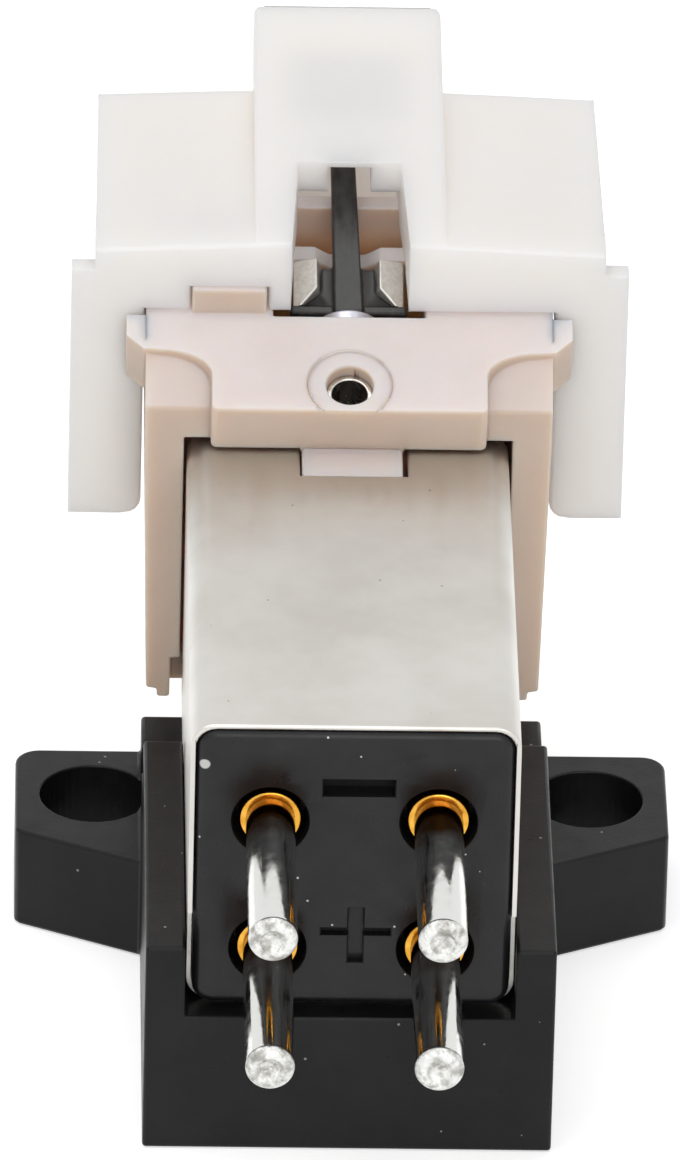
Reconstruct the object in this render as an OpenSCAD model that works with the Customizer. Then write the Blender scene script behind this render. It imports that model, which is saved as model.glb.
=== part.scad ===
// Turntable stylus cartridge: a moving-magnet phono cartridge with its stylus unit and stylus guard.
// +Y points to the stylus end, +Z to the record side; the part lies on its mounting face.
// The origin is midway between the two mounting holes, on the mounting face.

/* [Mounting bracket] */
// Distance between the centres of the two mounting holes
hole_spacing = 12.7; // [12.5:0.1:13.1]
// Diameter of a mounting hole
hole_d = 2.8; // [2.5:0.1:3.0]
// Width over both ears
ear_span = 16.75; // [16.4:0.05:17.6]
// Thickness of an ear
ear_t = 2.78; // [2.2:0.01:3.2]
// Distance from the hole line back to the rear of an ear at its tip
ear_back_tip = 1.87; // [1.6:0.01:2.4]
// Distance from the hole line back to the rear of an ear at its root
ear_back_root = 3.6; // [2.6:0.1:4.6]
// Radius of the front corner of an ear
ear_r = 0.62; // [0.3:0.01:0.8]
// Width of the saddle between the ears
saddle_w = 10.3; // [10.1:0.1:10.7]
// Distance from the hole line back to the rear face
saddle_back = 12.75; // [11.5:0.05:14]
// Distance from the hole line to the front edge of the saddle and ears
saddle_front = 2.22; // [2:0.01:2.6]
// Height of the floor under the can
floor_h = 3.85; // [3.4:0.05:4.2]
// Height of the cheeks beside the can
cheek_h = 5.87; // [5:0.01:8]
// Distance from the hole line back to the front end of the cheeks
cheek_back = 2.42; // [1.8:0.01:5]

/* [Shield can] */
// Width of the can
can_w = 8.24; // [8:0.02:8.3]
// Height of the can
can_h = 8.23; // [7.8:0.01:8.6]
// Thickness of the can's sheet
can_t = 0.13; // [0.1:0.01:0.2]
// Outer corner radius of the can
can_r = 0.6; // [0.4:0.05:0.9]
// Distance from the hole line to the front edge of the can
can_front = 2.6; // [2.4:0.1:2.8]
// Distance that the can's rear edge stands inside the rear face of the bracket
can_inset = 0.46; // [0.3:0.02:0.6]

/* [Terminals] */
// Diameter of a contact pin
pin_d = 1.24; // [1.0:0.01:1.3]
// Distance between the left and right pins
pin_gap_x = 4.2; // [4:0.05:4.5]
// Distance between the upper and lower pins
pin_gap_z = 3.7; // [3.4:0.05:4]
// Height of the lower pins above the mounting face
pin_z = 5.64; // [5.5:0.02:5.9]
// Length of a pin behind the can
pin_reach = 5.9; // [4:0.1:7]
// Diameter of the counterbore round a pin
pocket_d = 1.94; // [1.8:0.01:2.1]
// Distance that the terminal block stands out of the can
block_proud = 0.05; // [0:0.01:0.3]

/* [Stylus holder] */
// Slope of the stylus unit against the mounting face
slope = 23; // [21:0.5:24]
// Distance from the hole line to the rear lower edge of the T
unit_y = 1.57; // [1.5:0.01:1.7]
// Thickness of the T
tee_t = 1.63; // [1.55:0.01:1.7]
// Width of the stem of the T
stem_w = 7.04; // [6.8:0.02:7.2]
// Width over the wing tips of the T
wing_w = 11.4; // [11.2:0.02:11.6]
// Width of the holder between the walls of the guard
holder_w = 10.4; // [10.3:0.02:10.44]
// Width over the arms at their feet
foot_w = 10.1; // [9.9:0.02:10.3]
// Height of the arm feet above the mounting face
foot_z = 4.6; // [4.4:0.05:5.6]
// Distance from the hole line to the rear edge of the arms
arm_y = 1.85; // [1.75:0.05:2.1]
// Distance from the hole line to the front face of the holder
nose_y = 9.0; // [8.9:0.05:9.1]
// Height of the flat top of the holder
nose_z = 15.45; // [15.3:0.01:15.46]
// Radius of the hole for the anchor tube
anchor_r = 0.6; // [0.5:0.02:0.7]

/* [Cantilever] */
// Distance from the rear edge of the T to the pivot, along the slope
pivot_a = 3.75; // [3.7:0.01:3.8]
// Length of the cantilever's bar in front of the pivot
bar_l = 5.7; // [5.4:0.1:5.8]
// Width of the bar at its root
bar_w_root = 0.74; // [0.6:0.01:0.8]
// Width of the bar at its tip
bar_w_tip = 0.6; // [0.4:0.01:0.7]
// Sideways lean of the bar, as on the photographed piece
bar_lean = 1.5; // [0:0.1:2]
// Width over the wings of the yoke
yoke_w = 3.0; // [2.6:0.05:3.1]
// Distance from the hole line to the diamond
tip_y = 9.52; // [9.4:0.01:9.6]
// Height of the diamond's point above the mounting face
tip_z = 17.1; // [17.0:0.01:17.12]

/* [Stylus guard] */
// Distance from the hole line to the rear face of the guard
guard_y = 3.77; // [3.75:0.01:3.8]
// Width over the flange of the guard
flange_w = 14.24; // [13.8:0.02:14.6]
// Height of the flange's lower edge above the mounting face
flange_z = 8.92; // [8.4:0.02:10]
// Width over the side walls of the guard
hood_w = 13.04; // [12.7:0.02:13.2]
// Distance from the hole line to the front face of the guard
hood_y = 12.12; // [12:0.02:12.4]
// Height of the guard's top at its middle
hood_z = 16.88; // [16.8:0.02:17]
// Drop of the guard's top from its middle to the edge of the side walls
hood_drop = 0.21; // [0.1:0.01:0.3]
// Height of the flange's tips above the mounting face
wing_z = 16.07; // [15.8:0.01:16.4]
// Width of the tongue
tongue_w = 4.9; // [4.6:0.05:5.2]
// Distance from the hole line to the end of the tongue
tongue_y = 13.5; // [13.2:0.05:14]
// Rise of the tongue, in degrees
tongue_rise = 10; // [9:0.5:12]
// Half width of the slot under the tongue
slot_half = 1.31; // [1.2:0.01:1.4]

/* [Hidden] */
$fn = 48;
eps = 0.01;

// Heights and clearances that follow from the driving dimensions
can_top = floor_h + can_h;
can_inner_w = can_w - 2 * can_t;
can_back = saddle_back - can_inset;
fit = 0.05;                     // sliding gap between the can, the holder and the guard
unit_z = can_top + fit;         // height of the rear lower edge of the T
far = 40;                       // longer than any cut

// Stations along the slope, from the rear edge of the T
anchor_a = 0.87;                // centre of the anchor tube
window_a = 3.05;                // rear edge of the opening over the cantilever
sleeve_a = 2.1;                 // rear end of the suspension sleeve
axis_h = 0.2;                   // height of the sleeve's axis above the underside of the T
sleeve_r = 0.9;
damper_r = 0.6;
wire_r = 0.05;
tube_t = 0.15;                  // wall of the anchor tube
yoke_front = pivot_a + 0.3;     // front of the yoke's wings
flare_front = pivot_a + 0.8;    // front end of the yoke's flare
bridge_a = 5.85;                // rear face of the cross rib in front of the magnets

// Widths and walls of the holder
window_half = 1.95;             // half width of the opening over the cantilever
nose_wall = 0.62;
nose_low_z = 11.4;              // lower edge of the holder's front face
web_y = 4.7;                    // front edge of the arms at their feet
roof_z = 14.35;                 // underside of the flat top
key_x0 = -4.03;                 // key on the top of the T, left of the middle
key_x1 = -2.12;
key_h = 0.62;
tab_half = 1.29;                // locating tab in the notch of the can
tab_x = 0.09;                   // its offset to the right
tab_y = 0.4;                    // its rear end

// The magnetic circuit, in the frame of the slope
core_x = 2.2;                   // inner face of a core
core_t = 0.7;
leg_top = -0.75;                // top of an upper leg
leg_t = 0.65;
leg_gap = 2.15;                 // distance between the two legs of a core
leg_front = 4.9;
core_back = -8.2;
bobbin_back = -6.6;
bobbin_front = -2.2;
bobbin_half = 0.98;             // half width of a bobbin's cheeks

function arc(cx, cy, r, a0, a1, n = 6) =
    [for (i = [0:n]) let (a = a0 + (a1 - a0) * i / n) [cx + r * cos(a), cy + r * sin(a)]];

function round_rect(w, h, r) = concat(
    arc(w / 2 - r, h / 2 - r, r, 0, 90),
    arc(r - w / 2, h / 2 - r, r, 90, 180),
    arc(r - w / 2, r - h / 2, r, 180, 270),
    arc(w / 2 - r, r - h / 2, r, 270, 360));

function mirrored(half) = concat(half, [for (i = [len(half) - 1:-1:0]) [-half[i][0], half[i][1]]]);

// Height of a plane that is parallel to the slope, h above the underside of the T, at distance y
function slope_z(y, h) = unit_z + (y - unit_y) * tan(slope) + h / cos(slope);
function slope_y(z, h) = unit_y + (z - unit_z - h / cos(slope)) / tan(slope);

// An outline in Y and Z, extruded across the part
module across(w) {
    rotate([90, 0, 90]) linear_extrude(w, center = true) children();
}

// An outline in X and Z, extruded from y0 to y1
module along(y0, y1) {
    translate([0, y1, 0]) rotate([90, 0, 0]) linear_extrude(y1 - y0) children();
}

// The frame of the slope: X across, Y up the slope from the rear edge of the T, Z out of it
module on_slope() {
    translate([0, unit_y, unit_z]) rotate([slope, 0, 0]) children();
}

// In that frame, the axis of the suspension from the station a on, with Z up the slope
module on_axis(a) {
    translate([0, a, axis_h]) rotate([-90, 0, 0]) children();
}

// A piece of the right side and its mirror image on the left
module both_sides() {
    children();
    mirror([1, 0, 0]) children();
}

// Mounting bracket

module ear() {
    x0 = saddle_w / 2 - 0.3;
    x1 = ear_span / 2;
    linear_extrude(ear_t) polygon(concat(
        [[x0, -ear_back_root], [x1 - 0.12, -ear_back_tip - 0.06], [x1, -ear_back_tip + 0.08]],
        arc(x1 - ear_r, saddle_front - ear_r, ear_r, 0, 90),
        [[x0, saddle_front]]));
}

module saddle() {
    cheek_in = can_w / 2 + 0.02;
    across(saddle_w) polygon(concat(
        [[-saddle_back, 0], [saddle_front, 0]],
        arc(saddle_front - 0.15, floor_h - 0.15, 0.15, 0, 90, 3),
        [[-saddle_back, floor_h]]));
    both_sides() translate([(cheek_in + saddle_w / 2) / 2, 0, 0]) across(saddle_w / 2 - cheek_in)
        polygon(concat(
            [[-saddle_back, floor_h - eps], [-cheek_back, floor_h - eps]],
            arc(-cheek_back - 0.2, cheek_h - 0.2, 0.2, 0, 90, 4),
            arc(0.1 - saddle_back, cheek_h - 0.1, 0.1, 90, 180, 3)));
}

module mounting_bracket() {
    color("#2b2b2d") difference() {
        union() {
            saddle();
            both_sides() ear();
        }
        both_sides() translate([hole_spacing / 2, 0, -1]) cylinder(h = cheek_h + 2, d = hole_d);
    }
}

// Shield can, with the notch in its top that locates the stylus unit and a fine seam in its left side

module shield_can() {
    low_z = 6.6;                // below this height the rear edge stands further in
    low_back = 0.5;
    seam_y = -3.1;
    seam_z = 6.7;
    seam_w = 0.08;
    seam_depth = 0.05;
    color("#cfcdc8") difference() {
        translate([0, 0, floor_h + can_h / 2]) along(-can_back, can_front)
            polygon(round_rect(can_w, can_h, can_r));
        translate([0, 0, floor_h + can_h / 2]) along(-can_back - 1, can_front + 1)
            polygon(round_rect(can_inner_w, can_h - 2 * can_t, can_r - can_t / 2));
        translate([tab_x - tab_half - 0.05, tab_y - 0.07, can_top - 1])
            cube([2 * tab_half + 0.17, far, 2]);
        translate([-far / 2, -can_back - 1, 0]) cube([far, 1 + low_back, low_z]);
        translate([-can_w / 2 - 1, seam_y - seam_w / 2, seam_z])
            cube([1 + seam_depth, seam_w, can_top - can_r - seam_z]);
    }
}

// Terminal block, its contact pins and their collars

block_depth = 2.0;
block_back = -can_back - block_proud;
block_z = pin_z + pin_gap_z / 2;        // middle between the upper and the lower pins
mark_x = 0.1;                           // the marks stand a little to the right of the middle
mark_depth = 0.25;
minus_z = block_z + 2.82;
plus_z = block_z - 1.35;
pocket_depth = 1.45;
collar_d = 1.56;
collar_sink = 0.1;                      // the rear end of a collar inside the block's rear face
tail_d = 0.9;                           // thinner part of a pin, in its collar and in the block

// The axis of one pin, with Z to the front, from the distance y; side -1 is left and level 0 is lower
module at_pin(side, level, y) {
    translate([side * pin_gap_x / 2, y, pin_z + level * pin_gap_z]) rotate([-90, 0, 0]) children();
}

module at_pins(y) {
    for (side = [-1, 1], level = [0, 1]) at_pin(side, level, y) children();
}

// A bar of a polarity mark, cut into the rear face
module mark_bar(x, z, w, h) {
    translate([x - w / 2, block_back - 1, z - h / 2]) cube([w, 1 + mark_depth, h]);
}

module terminal_block() {
    color("#242425") difference() {
        translate([0, 0, floor_h + can_h / 2]) along(block_back, block_back + block_depth)
            polygon(round_rect(can_inner_w - 0.02, can_h - 2 * can_t - 0.02, can_r - can_t / 2));
        at_pins(block_back - 1) cylinder(h = 1 + pocket_depth, d = pocket_d);
        at_pins(block_back - 1) cylinder(h = far, d = tail_d);
        mark_bar(mark_x, minus_z, 1.8, 0.5);
        mark_bar(mark_x, plus_z, 1.75, 0.22);
        mark_bar(mark_x, plus_z - 0.1, 0.38, 1.6);
    }
}

// A straight pin with a rounded end that keeps a small flat; its shoulder stands on the collar
module pin(side, level) {
    pin_r = pin_d / 2;
    nose_r = 0.3;
    back = -can_back - pin_reach;
    seat = block_back + collar_sink - back;
    front = block_back + block_depth - 0.1 - back;
    color("#d8d9d8") at_pin(side, level, back) rotate_extrude() polygon(concat(
        [[0, 0]],
        arc(pin_r - nose_r, nose_r, nose_r, 270, 360, 5),
        [[pin_r, seat], [tail_d / 2, seat], [tail_d / 2, front], [0, front]]));
}

module collar(side, level) {
    rim = 0.07;
    collar_l = pocket_depth - collar_sink;
    color("#d9a23c") at_pin(side, level, block_back + collar_sink) difference() {
        rotate_extrude() polygon(concat(
            [[0, 0]],
            arc(collar_d / 2 - rim, rim, rim, 270, 360, 4),
            [[collar_d / 2, collar_l], [0, collar_l]]));
        translate([0, 0, -1]) cylinder(h = collar_l + 2, d = tail_d);
    }
}

// Magnetic circuit: two U-shaped cores, four wound bobbins and the frame that carries the legs

// The two legs of a core, grown by g on every side
module legs(side, g, a0, a1) {
    for (k = [0, 1])
        translate([side > 0 ? core_x - g : -core_x - core_t - g, a0, leg_top - leg_t - k * leg_gap - g])
            cube([core_t + 2 * g, a1 - a0, leg_t + 2 * g]);
}

module core(side) {
    color("#a9a8a4") on_slope() {
        legs(side, 0, core_back + eps, leg_front);
        translate([side > 0 ? core_x : -core_x - core_t, core_back, leg_top - leg_t - leg_gap])
            cube([core_t, leg_t, leg_t + leg_gap]);
    }
}

// level 0 is the lower leg and 1 the upper one
module at_leg(side, level) {
    x = side * (core_x + core_t / 2);
    h = leg_top - leg_t / 2 - (1 - level) * leg_gap;
    on_slope() translate([x, 0, h]) children();
}

module bobbin(side, level) {
    cheek = 0.3;
    hub = 0.55;
    color("#3a3834") at_leg(side, level) difference() {
        union() {
            translate([-hub, bobbin_back, -hub]) cube([2 * hub, bobbin_front - bobbin_back, 2 * hub]);
            for (a = [bobbin_back, bobbin_front - cheek])
                translate([-bobbin_half, a, -bobbin_half]) cube([2 * bobbin_half, cheek, 2 * bobbin_half]);
        }
        translate([-core_t / 2, bobbin_back - 1, -leg_t / 2]) cube([core_t, far, leg_t]);
    }
}

module coil(side, level) {
    cheek = 0.3;
    hub = 0.55;
    size = 2 * bobbin_half - 0.2;
    color("#b5652d") at_leg(side, level) difference() {
        along(bobbin_back + cheek, bobbin_front - cheek) polygon(round_rect(size, size, 0.3));
        translate([-hub, -far / 2, -hub]) cube([2 * hub, far, 2 * hub]);
    }
}

module pole_frame() {
    frame_back = 1.4;
    frame_h = can_h - 2 * can_t - 0.1;
    color("#2a2a2a") difference() {
        translate([0, 0, floor_h + can_h / 2]) along(frame_back, can_front - 0.1)
            polygon(round_rect(can_inner_w - 0.02, frame_h, can_r - can_t));
        on_slope() for (side = [-1, 1]) legs(side, 0, core_back, leg_front);
        translate([tab_x - tab_half - 0.15, -1, can_top - 1.35]) cube([2 * tab_half + 0.3, far, 2]);
    }
}

// Stylus holder

// Half of the plan of the T: stem, concave fillet, wing and bevelled tip
function tee_half() = let (x = stem_w / 2, fx = 1.35, fy = 0.75, a = 1.15) concat(
    arc(x - 0.15, 0.15, 0.15, 270, 360, 3),
    [for (i = [0:8]) let (t = 90 * i / 8) [x + fx * (1 - cos(t)), a + fy * sin(t)]],
    [[wing_w / 2 - 0.44, 1.93], [wing_w / 2, 2.36], [wing_w / 2, 3.6]]);

module tee() {
    intersection() {
        on_slope() linear_extrude(tee_t) polygon(mirrored(tee_half()));
        translate([-far / 2, -far / 2, 0]) cube([far, far / 2 + guard_y - 0.05, far]);
    }
}

// Side view of the arms and the nose
module housing_side() {
    across(far) polygon([
        [arm_y, foot_z],
        [web_y, foot_z],
        [nose_y, nose_low_z],
        [nose_y, nose_z],
        [slope_y(nose_z, tee_t), nose_z],
        [3.0, slope_z(3.0, tee_t)],
        [arm_y, slope_z(arm_y, tee_t / 2)]
    ]);
}

// Rear view of the arms and the nose, with a small step at each foot
module housing_front() {
    step_x = 0.28;
    step_h = 0.22;
    along(0, nose_y + 1) polygon(mirrored([
        [foot_w / 2 - step_x, foot_z - eps],
        [foot_w / 2 - step_x, foot_z + step_h],
        [foot_w / 2, foot_z + step_h + 0.05],
        [holder_w / 2, slope_z(arm_y, 0)],
        [holder_w / 2, nose_z + 1]
    ]));
}

// Rebate on the inner side of an arm, at its foot
module foot_rebate() {
    w = 0.24;
    h = 1.15;
    both_sides() translate([can_w / 2, arm_y - 1, foot_z - 1]) cube([w + 0.08, 1 + 0.9, 1 + h]);
}

// Room for the can and for the poles and magnets before it
module housing_hollow() {
    inner = can_w + 0.16;
    front = can_front + 0.15;
    sill = foot_z + 0.75;
    across(inner) polygon([
        [-1, 0],
        [front, 0],
        [front, sill],
        [web_y - 0.4, sill],
        [nose_y - nose_wall, nose_low_z + 0.42],
        [nose_y - nose_wall, roof_z],
        [slope_y(roof_z, 0), roof_z],
        [unit_y, unit_z],
        [-1, unit_z]
    ]);
}

// Opening over the cantilever
module window() {
    roof_back = slope_y(roof_z, 0) - 1.2;
    on_slope() translate([-window_half, window_a, -1.2]) cube([2 * window_half, 3.4, 5]);
    translate([-window_half, roof_back, roof_z - 0.35])
        cube([2 * window_half, nose_y - nose_wall - roof_back, 3]);
}

// Cross rib with a shallow notch under the bar
module bridge() {
    on_slope() along(bridge_a, bridge_a + 0.5) polygon(mirrored([
        [0.42, -0.95], [window_half + 0.3, -0.55], [window_half + 0.3, 0.33], [0.85, 0.33], [0.45, 0.02]
    ]));
}

module locating_tab() {
    translate([tab_x, 0, 0]) across(2 * tab_half) polygon([
        [tab_y, can_top - 0.06],
        [tab_y, can_top - 1.1],
        [tab_y + 1.3, can_top - 1.1],
        [can_front, can_top - 0.4],
        [can_front, slope_z(can_front, 0.3)],
        [unit_y, slope_z(unit_y, 0.3)],
        [unit_y - 0.1, can_top + 0.06]
    ]);
}

// Boss under the T that carries the suspension sleeve
module sleeve_boss() {
    on_slope() translate([0, sleeve_a + 0.1, 0]) along(0, window_a - sleeve_a - 0.1) polygon(concat(
        [[1.3, eps + 0.2], [-1.3, eps + 0.2]],
        arc(0, axis_h, 1.3, 180, 360, 12)));
}

module holder_key() {
    intersection() {
        on_slope() translate([key_x0, 2, tee_t - 0.3]) cube([key_x1 - key_x0, 2.5, key_h + 0.3]);
        translate([-far / 2, guard_y, 0]) cube(far);
    }
}

module stylus_holder() {
    color("#e0d7d4") difference() {
        union() {
            difference() {
                union() {
                    tee();
                    intersection() {
                        housing_side();
                        housing_front();
                    }
                }
                difference() {
                    housing_hollow();
                    on_slope() translate([-far / 2, 0, 0]) cube([far, window_a, tee_t]);
                }
                window();
                foot_rebate();
            }
            bridge();
            sleeve_boss();
            locating_tab();
            holder_key();
        }
        on_slope() {
            translate([0, anchor_a, 0]) cylinder(h = far, r = anchor_r);
            translate([0, anchor_a, tee_t - 0.05]) cylinder(h = far, r = 1.08);
            on_axis(anchor_a) cylinder(h = sleeve_a, r = 3 * wire_r, $fn = 16);
            on_axis(sleeve_a) cylinder(h = pivot_a - sleeve_a + 0.5, r = sleeve_r);
        }
    }
}

// Rolled tube with its open seam, pressed into the hole of the T
module anchor_tube() {
    color("#c8c6c0") on_slope() translate([0, anchor_a, eps]) difference() {
        cylinder(h = 1.2, r = anchor_r);
        translate([0, 0, -1]) cylinder(h = 4, r = anchor_r - tube_t);
        rotate(205) translate([0, -0.04, -1]) cube([2, 0.08, 4]);
        on_axis(0) cylinder(h = 2, r = wire_r, $fn = 16);
    }
}

module tie_wire() {
    color("#b9b7b0") on_slope() on_axis(anchor_a + anchor_r - tube_t)
        cylinder(h = pivot_a - anchor_a - anchor_r + tube_t - 0.02, r = wire_r, $fn = 16);
}

module suspension_sleeve() {
    color("#dcdae4") on_slope() on_axis(sleeve_a) difference() {
        cylinder(h = pivot_a - sleeve_a - 0.06, r = sleeve_r);
        translate([0, 0, -1]) cylinder(h = far, r = damper_r);
    }
}

module damper_ring() {
    color("#1d1c1c") on_slope() on_axis(pivot_a - 0.7) difference() {
        cylinder(h = 0.68, r = damper_r - 0.03);
        translate([0, 0, -1]) cylinder(h = far, r = wire_r + 0.01, $fn = 16);
    }
}

// Cantilever: a tapered square bar with a flared yoke

// Underside and top of the bar above the underside of the T, at its root and at its tip
bar_under = [0.2, 0.67];
bar_over = [0.95, 1.17];
magnet_tilt = 15;
magnet_top = 0.85;
magnet_in = 0.8;                // inner edge of a magnet's top from the middle
magnet_w = 0.65;
magnet_l = 1.95;
magnet_cut = 0.45;              // width of the cut-off corner
magnet_back = yoke_front + 0.02;
magnet_front = 5.55;

module bar() {
    rotate([0, 0, bar_lean]) intersection() {
        translate([0, 0, -1]) linear_extrude(4) polygon(mirrored([
            [bar_w_root / 2, 0], [bar_w_tip / 2, bar_l]
        ]));
        across(far) polygon([
            [0, bar_under[0]], [bar_l, bar_under[1]], [bar_l, bar_over[1]], [0, bar_over[0]]
        ]);
    }
}

// Prism in the frame of a tilted magnet, from the outline of its plan
module at_magnet() {
    translate([magnet_in, 0, magnet_top]) rotate([0, magnet_tilt, 0])
        translate([0, 0, -magnet_l]) linear_extrude(magnet_l) children();
}

// Wings, then a flare that fills the V between the magnets with a small gap
module yoke() {
    low = -0.35;
    top = 0.72;
    gap = 0.05;
    rear_face = 0.02;
    translate([-yoke_w / 2, pivot_a + rear_face, low])
        cube([yoke_w, yoke_front - pivot_a - rear_face, 1.15]);
    both_sides() intersection() {
        at_magnet() polygon([
            [-1.5, yoke_front - 0.1],
            [magnet_cut - gap, yoke_front - 0.1],
            [magnet_cut - gap, magnet_back],
            [-gap, flare_front],
            [-gap, flare_front + 0.75],
            [-1.5, flare_front + 0.75]
        ]);
        translate([0, 0, low]) cube([far, far, top - low]);
    }
    translate([-0.3, pivot_a + rear_face, low])
        cube([0.6, flare_front + 0.75 - pivot_a - rear_face, top - low]);
}

module cantilever() {
    color("#4b4b49") difference() {
        on_slope() {
            translate([0, pivot_a, 0]) bar();
            yoke();
        }
        on_slope() on_axis(pivot_a - 1) cylinder(h = 1.25, r = 0.14, $fn = 16);
        at_tip() cylinder(h = far, r = shank_r, center = true, $fn = 24);
    }
}

// Each magnet is a short bar with its rear inner corner cut off, tilted so that the pair forms a V
module magnet(side) {
    color("#b9b7b1") on_slope() mirror([side < 0 ? 1 : 0, 0, 0]) at_magnet() polygon([
        [0, magnet_front],
        [0, flare_front + 0.05],
        [magnet_cut, magnet_back],
        [magnet_w, magnet_back],
        [magnet_w, magnet_front]
    ]);
}

// Diamond: a round shank with a cone, standing square to the record
shank_r = 0.11;

module at_tip() {
    translate([-sin(bar_lean) * (bar_l - 0.3), tip_y, 0]) children();
}

module stylus_tip() {
    cone = 0.24;
    color("#d9e2ea") at_tip() translate([0, 0, tip_z - 0.85]) rotate_extrude($fn = 24) polygon([
        [0, 0], [shank_r, 0], [shank_r, 0.85 - cone], [0.018, 0.84], [0, 0.85]
    ]);
}

// Stylus guard: a flanged hood with a slot and a tongue

beam_z = 14.35;                 // the flange is thicker above this height
beam_t = 1.2;
flange_t = 0.6;
hood_wall = 1.0;                // front wall and side walls of the guard
hood_draft = 0.1;               // narrowing of each side wall to the front
hood_inner = nose_z + 0.12;     // underside of the guard's top plate

// Height of the guard's top at the distance x from the middle, where it falls towards both sides
function crown_z(x) = let (flat = tongue_w / 2)
    hood_z - hood_drop * max(0, x - flat) / (hood_w / 2 - flat);

// Outline of the top from the edge at half width x to the middle
function crown(x) = [[x, crown_z(x)], [tongue_w / 2, hood_z], [0, hood_z]];

// Flange: a frame round the holder, open below
module flange() {
    r = 0.42;
    x0 = holder_w / 2 + fit;
    x1 = flange_w / 2;
    along(guard_y, guard_y + flange_t) polygon(concat(
        [[x0 + r, flange_z], [x1, flange_z], [x1, wing_z], [x0, wing_z]],
        arc(x0 + r, flange_z + r, r, 180, 270, 4)));
    along(guard_y, guard_y + beam_t)
        polygon(concat([[0, beam_z], [hood_w / 2, beam_z]], crown(hood_w / 2)));
}

// Side walls, top and front wall, with the lower edge rising to the front
module hood() {
    inner = hood_w / 2 - hood_wall + 0.02;
    intersection() {
        along(guard_y, hood_y) polygon(concat([[0, 0], [hood_w / 2, 0]], crown(hood_w / 2)));
        linear_extrude(far) polygon([
            [-1, guard_y], [hood_w / 2, guard_y], [hood_w / 2 - hood_draft, hood_y], [-1, hood_y]
        ]);
        across(far) polygon(concat(
            [[guard_y, flange_z + 0.25], [guard_y + 1.4, flange_z + 0.25]],
            arc(hood_y - 0.9, 13.9, 0.9, 300, 360, 4),
            arc(hood_y - 0.2, hood_z - 0.2, 0.2, 0, 90, 3),
            [[guard_y, hood_z]]));
        difference() {
            translate([0, guard_y, 0]) cube([far, far, far]);
            translate([-1, guard_y - 1, 0]) cube([inner + 1, hood_y - hood_wall - guard_y + 1, hood_inner]);
        }
    }
}

function tongue_top(y) = hood_z + (y - guard_y) * tan(tongue_rise);

// Side view of the tongue, with a rounded end
module tongue() {
    end_z = tongue_top(tongue_y);
    r = 0.3;
    nose_r = 0.15;
    intersection() {
        across(tongue_w) polygon(concat(
            [[guard_y, hood_z - 0.5], [hood_y - 0.3, hood_z - 0.9], [tongue_y - 0.35, end_z - 1.0]],
            arc(tongue_y - nose_r, end_z - nose_r, nose_r, 0, 100, 5),
            [[guard_y, hood_z]]));
        linear_extrude(far) polygon(mirrored(concat(
            [[tongue_w / 2, guard_y]],
            arc(tongue_w / 2 - 0.03 - r, tongue_y - r, r, 0, 90, 4))));
    }
}

// Window over the cantilever and the slot that continues under the tongue
module guard_slot() {
    window_y = 7.1;
    mouth_half = slot_half + 0.2;
    roof = 0.86;
    roof_tip = 0.46;            // the roof is thinner over the front part
    roof_scoop = 0.15;          // and thinnest at the edge of the scoop over the bar
    scoop_half = 0.55;
    scoop_y = 8.5;
    step_y = 9.2;
    end_y = hood_y - 0.6;
    y0 = guard_y - 1;
    translate([0, 0, hood_z - 3]) linear_extrude(far) polygon(mirrored([
        [mouth_half + 0.02, y0], [mouth_half, guard_y], [slot_half, window_y]
    ]));
    across(2 * slot_half) polygon([
        [y0, 10],
        [end_y, 10],
        [end_y, tongue_top(end_y) - roof_tip],
        [step_y, tongue_top(step_y) - roof_tip],
        [step_y, tongue_top(step_y) - roof],
        [y0, tongue_top(y0) - roof]
    ]);
    across(2 * scoop_half) polygon([
        [window_y - 1, 16],
        [scoop_y, 16],
        [scoop_y, tongue_top(scoop_y) - roof],
        [window_y, tongue_top(window_y) - roof_scoop],
        [window_y - 1, tongue_top(window_y) - roof_scoop]
    ]);
}

// Room for the sloping top of the holder and for its key
module guard_hollow() {
    gap = tee_t + fit + 0.02;
    across(holder_w + 2 * fit) polygon([
        [guard_y - 1, 0],
        [hood_y - hood_wall, 0],
        [hood_y - hood_wall, hood_inner],
        [slope_y(hood_inner, gap), hood_inner],
        [guard_y - 1, slope_z(guard_y - 1, gap)]
    ]);
    on_slope() translate([key_x0 - fit, 0, 0]) cube([key_x1 - key_x0 + 2 * fit, 5, tee_t + key_h + fit]);
}

module stylus_guard() {
    color("#e9e7e3", 0.75) difference() {
        union() {
            both_sides() {
                flange();
                hood();
            }
            tongue();
        }
        guard_hollow();
        guard_slot();
    }
}

mounting_bracket();
shield_can();
terminal_block();
pin(-1, 1);  // pin_left_minus
pin(1, 1);  // pin_right_minus
pin(-1, 0);  // pin_left_plus
pin(1, 0);  // pin_right_plus
collar(-1, 1);  // collar_left_minus
collar(1, 1);  // collar_right_minus
collar(-1, 0);  // collar_left_plus
collar(1, 0);  // collar_right_plus
pole_frame();
core(-1);  // core_left
core(1);  // core_right
bobbin(-1, 1);  // bobbin_left_upper
bobbin(-1, 0);  // bobbin_left_lower
bobbin(1, 1);  // bobbin_right_upper
bobbin(1, 0);  // bobbin_right_lower
coil(-1, 1);  // coil_left_upper
coil(-1, 0);  // coil_left_lower
coil(1, 1);  // coil_right_upper
coil(1, 0);  // coil_right_lower
stylus_holder();
anchor_tube();
tie_wire();
suspension_sleeve();
damper_ring();
cantilever();
magnet(-1);  // magnet_left
magnet(1);  // magnet_right
stylus_tip();
stylus_guard();
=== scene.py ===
import math

import bmesh
import bpy
import numpy as np
from mathutils import Matrix, Vector


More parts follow.
